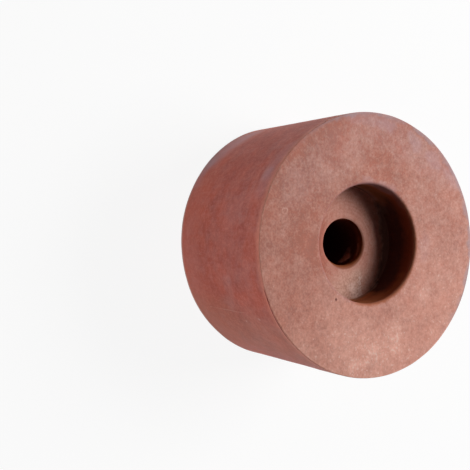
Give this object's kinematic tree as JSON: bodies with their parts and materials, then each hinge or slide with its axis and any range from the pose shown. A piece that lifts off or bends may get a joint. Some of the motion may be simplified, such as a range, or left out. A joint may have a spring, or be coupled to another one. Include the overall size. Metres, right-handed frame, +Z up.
{
  "type": "rubber stopper",
  "caption": "Tapered moulded rubber stopper with a round recess in its wide end and a straight hole through its middle, for sealing a neck around a tube.",
  "frame": {"origin": "centre of the small end, on the plane it stands on", "axes": "+Z up the stopper's axis to the wide end, which holds the recess; the shape is the same all round, so X and Y are any two directions across it"},
  "size_m": [0.055, 0.055, 0.033],
  "materials": {
    "rubber": "matte moulded, faintly dusty"
  },
  "bodies": {
    "root": {"stopper": "rubber"}
  },
  "joints": []
}
